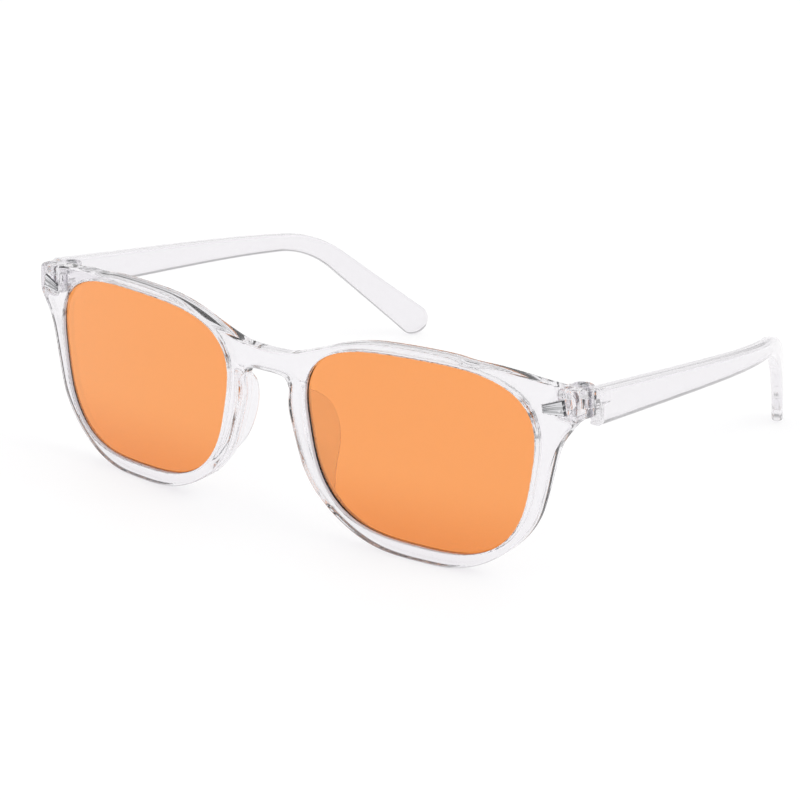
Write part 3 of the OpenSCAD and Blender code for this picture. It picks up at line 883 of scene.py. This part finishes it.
# ---------------------------------------------------------------- wedge trims
# Facets: lift along the trim, and lift across it with a groove on each side of the middle ridge
TRIM_STATIONS = [(-TRIM_LEN / 2, 0.16), (-TRIM_LEN / 2 + 0.28, 1.0),
                 (TRIM_LEN / 2 - 0.28, 1.0), (TRIM_LEN / 2, 0.16)]
TRIM_ROWS = [(-1, 0.1), (-0.9, 0.62), (-0.62, 0.9), (-0.36, 0.45), (-0.3, 0.45), (0.0, 1.0),
             (0.3, 0.45), (0.36, 0.45), (0.62, 0.9), (0.9, 0.62), (1, 0.1)]
PIN_TURNS = 20


def trim_point(along, across, depth):
    cos, sin = math.cos(math.radians(TRIM_TILT)), math.sin(math.radians(TRIM_TILT))
    x, z = TRIM_X + along * cos - across * sin, TRIM_Z + along * sin + across * cos
    return on_sheet(np.array([x]), np.array([z]), depth)[0]


def wedge_mesh():
    """The faceted face, the flat floor behind it and the four sides."""
    rise = -RECESS - TRIM_FACE
    top = [trim_point(u, share * trim_half(u), -RECESS - rise * up * lift)
           for u, lift in TRIM_STATIONS for share, up in TRIM_ROWS]
    floor = [trim_point(u, share * trim_half(u), TRIM_FLOOR)
             for u, _ in TRIM_STATIONS for share, _ in TRIM_ROWS]
    stations, rows = len(TRIM_STATIONS), len(TRIM_ROWS)

    def corner(layer, station, row):
        return (layer * stations + station) * rows + row

    faces = []
    for i in range(stations - 1):
        for k in range(rows - 1):
            faces.append([corner(0, i, k), corner(0, i + 1, k), corner(0, i + 1, k + 1), corner(0, i, k + 1)])
            faces.append([corner(1, i, k + 1), corner(1, i + 1, k + 1), corner(1, i + 1, k), corner(1, i, k)])
        for row, a, b in ((0, i, i + 1), (rows - 1, i + 1, i)):
            faces.append([corner(1, a, row), corner(1, b, row), corner(0, b, row), corner(0, a, row)])
    for k in range(rows - 1):
        for station, a, b in ((0, k, k + 1), (stations - 1, k + 1, k)):
            faces.append([corner(0, station, a), corner(0, station, b), corner(1, station, b),
                          corner(1, station, a)])
    return top + floor, faces


def pin_mesh(x, first):
    """A fixing pin behind the trim, whose points are numbered from first."""
    verts, faces = [], []
    for depth, r in ((PIN_START, PIN_R), (PIN_END - PIN_BEVEL, PIN_R), (PIN_END, PIN_R - PIN_BEVEL)):
        for turn in np.arange(PIN_TURNS) * 2 * math.pi / PIN_TURNS:
            verts.append(np.array([x + r * math.cos(turn), depth, TRIM_Z + r * math.sin(turn)]))
    last = first + 2 * PIN_TURNS
    faces.append(list(range(first, first + PIN_TURNS)))
    faces.append(list(range(last, last + PIN_TURNS))[::-1])
    for ring in (first, first + PIN_TURNS):
        for i in range(PIN_TURNS):
            a, b = ring + i, ring + (i + 1) % PIN_TURNS
            faces.append([a, a + PIN_TURNS, b + PIN_TURNS, b])
    return verts, faces


def trim_mesh():
    verts, faces = wedge_mesh()
    for offset in (-PIN_X, PIN_X):
        pin_verts, pin_faces = pin_mesh(TRIM_X + offset, len(verts))
        verts, faces = verts + pin_verts, faces + pin_faces
    return np.array(verts), faces


trim = trim_mesh()
for side in ("left", "right"):
    ob = make_object(f"{side}_wedge_trim_facets", *sided(side, *trim)[:2], trim_metal, smooth=False)
    keep(ob, "front", f"{side}_wedge_trim")


# ---------------------------------------------------------------- floor
# In metres: half the floor's side, and its drop below the glasses so that the two never touch
FLOOR_HALF, FLOOR_DROP = 3.0, 0.00003


def make_floor():
    corners = [(FLOOR_HALF * x, FLOOR_HALF * y, cad_low[2] - FLOOR_DROP)
               for x, y in ((-1, -1), (1, -1), (1, 1), (-1, 1))]
    mesh = bpy.data.meshes.new("floor")
    mesh.from_pydata(corners, [], [(0, 1, 2, 3)])
    floor = bpy.data.objects.new("floor", mesh)
    bpy.context.scene.collection.objects.link(floor)
    material, tree, shader, _ = new_material("floor_white")
    whites = mixed(tree, noise(tree, scale=3, detail=2), (0.93, 0.93, 0.93), (0.95, 0.95, 0.95))
    tree.links.new(whites, shader.inputs["Base Color"])
    shader.inputs["Roughness"].default_value = 0.6
    shader.inputs["Specular IOR Level"].default_value = 0.2
    mesh.materials.append(material)
    floor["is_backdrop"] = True


make_floor()

# ---------------------------------------------------------------- light
# The dark side of the room: its direction, where it starts and is full, and its tone
DARK_TOWARDS, DARK_FROM, DARK_FULL, DARK_TONE = (0.58, -0.78, 0.24), 0.77, 0.93, (0.22, 0.22, 0.23)
# White near the horizon, a greyer band of room above it, and a white ceiling
HORIZON_TOP, ROOM_AT, ROOM_TOP, ROOM_TONE = 0.06, 0.2, 0.5, (0.42, 0.42, 0.42)
WHITE = (1, 1, 1)
# Strengths of the room and the sun, the sun's width in degrees and where it stands
ROOM_STRENGTH, SUN_STRENGTH, SUN_SPREAD, SUN_FROM = 0.98, 1.1, 32, (0.85, 0.15, 0.85)


def color_ramp(tree, stops):
    """A ramp through (position, colour) stops."""
    ramp = tree.nodes.new("ShaderNodeValToRGB")
    elements = ramp.color_ramp.elements
    for element, (position, _) in zip(elements, (stops[0], stops[-1])):
        element.position = position
    for position, _ in stops[1:-1]:
        elements.new(position)
    for element, (_, color) in zip(elements, stops):
        element.color = (*color, 1)
    return ramp


def light_room():
    world = bpy.data.worlds.new("studio")
    bpy.context.scene.world = world
    world.use_nodes = True
    tree = world.node_tree
    at = tree.nodes.new("ShaderNodeTexCoord")
    facing = tree.nodes.new("ShaderNodeVectorMath")
    facing.operation = "DOT_PRODUCT"
    facing.inputs[1].default_value = DARK_TOWARDS
    around = color_ramp(tree, [(DARK_FROM, WHITE), (DARK_FULL, DARK_TONE)])
    upwards = color_ramp(tree, [(HORIZON_TOP, WHITE), (ROOM_AT, ROOM_TONE), (ROOM_TOP, WHITE)])
    upwards.color_ramp.interpolation = "EASE"
    both = tree.nodes.new("ShaderNodeVectorMath")
    both.operation = "SCALE"
    back = tree.nodes["Background"]
    back.inputs["Strength"].default_value = ROOM_STRENGTH
    tree.links.new(at.outputs["Generated"], facing.inputs[0])
    tree.links.new(facing.outputs["Value"], around.inputs["Fac"])
    tree.links.new(coordinate(tree, "Generated", "Z"), upwards.inputs["Fac"])
    tree.links.new(around.outputs["Color"], both.inputs["Vector"])
    tree.links.new(upwards.outputs["Color"], both.inputs["Scale"])
    tree.links.new(both.outputs["Vector"], back.inputs["Color"])


def light_sun():
    """A broad soft sun, kept out of reflections so that it leaves no hard highlights."""
    light = bpy.data.lights.new("key", "SUN")
    light.energy = SUN_STRENGTH
    light.angle = math.radians(SUN_SPREAD)
    sun = bpy.data.objects.new("key", light)
    sun.visible_glossy = False
    sun.visible_transmission = False
    sun.rotation_euler = Vector(SUN_FROM).to_track_quat("Z", "Y").to_euler()
    bpy.context.scene.collection.objects.link(sun)


bpy.context.scene.view_settings.view_transform = "Standard"
light_room()
light_sun()

# ---------------------------------------------------------------- camera
# Direction from the glasses in degrees, distance and target in metres, focal length and sensor in mm
AZIMUTH, ELEVATION, ROLL = (math.radians(v) for v in (37.0248, 19.2995, 0.4176))
DISTANCE, FOCAL, SENSOR = 0.5554, 115.537, 36.0
TARGET = Vector((0, cad_low[1] + 0.04527, 0.014009))


def place_camera():
    away = Vector((math.sin(AZIMUTH) * math.cos(ELEVATION), -math.cos(AZIMUTH) * math.cos(ELEVATION),
                   math.sin(ELEVATION)))
    level = Vector((0, 0, 1)).cross(away).normalized()
    upright = away.cross(level)
    right = level * math.cos(ROLL) + upright * math.sin(ROLL)
    up = upright * math.cos(ROLL) - level * math.sin(ROLL)
    data = bpy.data.cameras.new("camera")
    data.lens = FOCAL
    data.sensor_width = SENSOR
    data.clip_start = 0.01
    camera = bpy.data.objects.new("camera", data)
    turn = Matrix((right, up, away)).transposed().to_4x4()
    camera.matrix_world = Matrix.Translation(TARGET + away * DISTANCE) @ turn
    bpy.context.scene.collection.objects.link(camera)
    bpy.context.scene.camera = camera


place_camera()
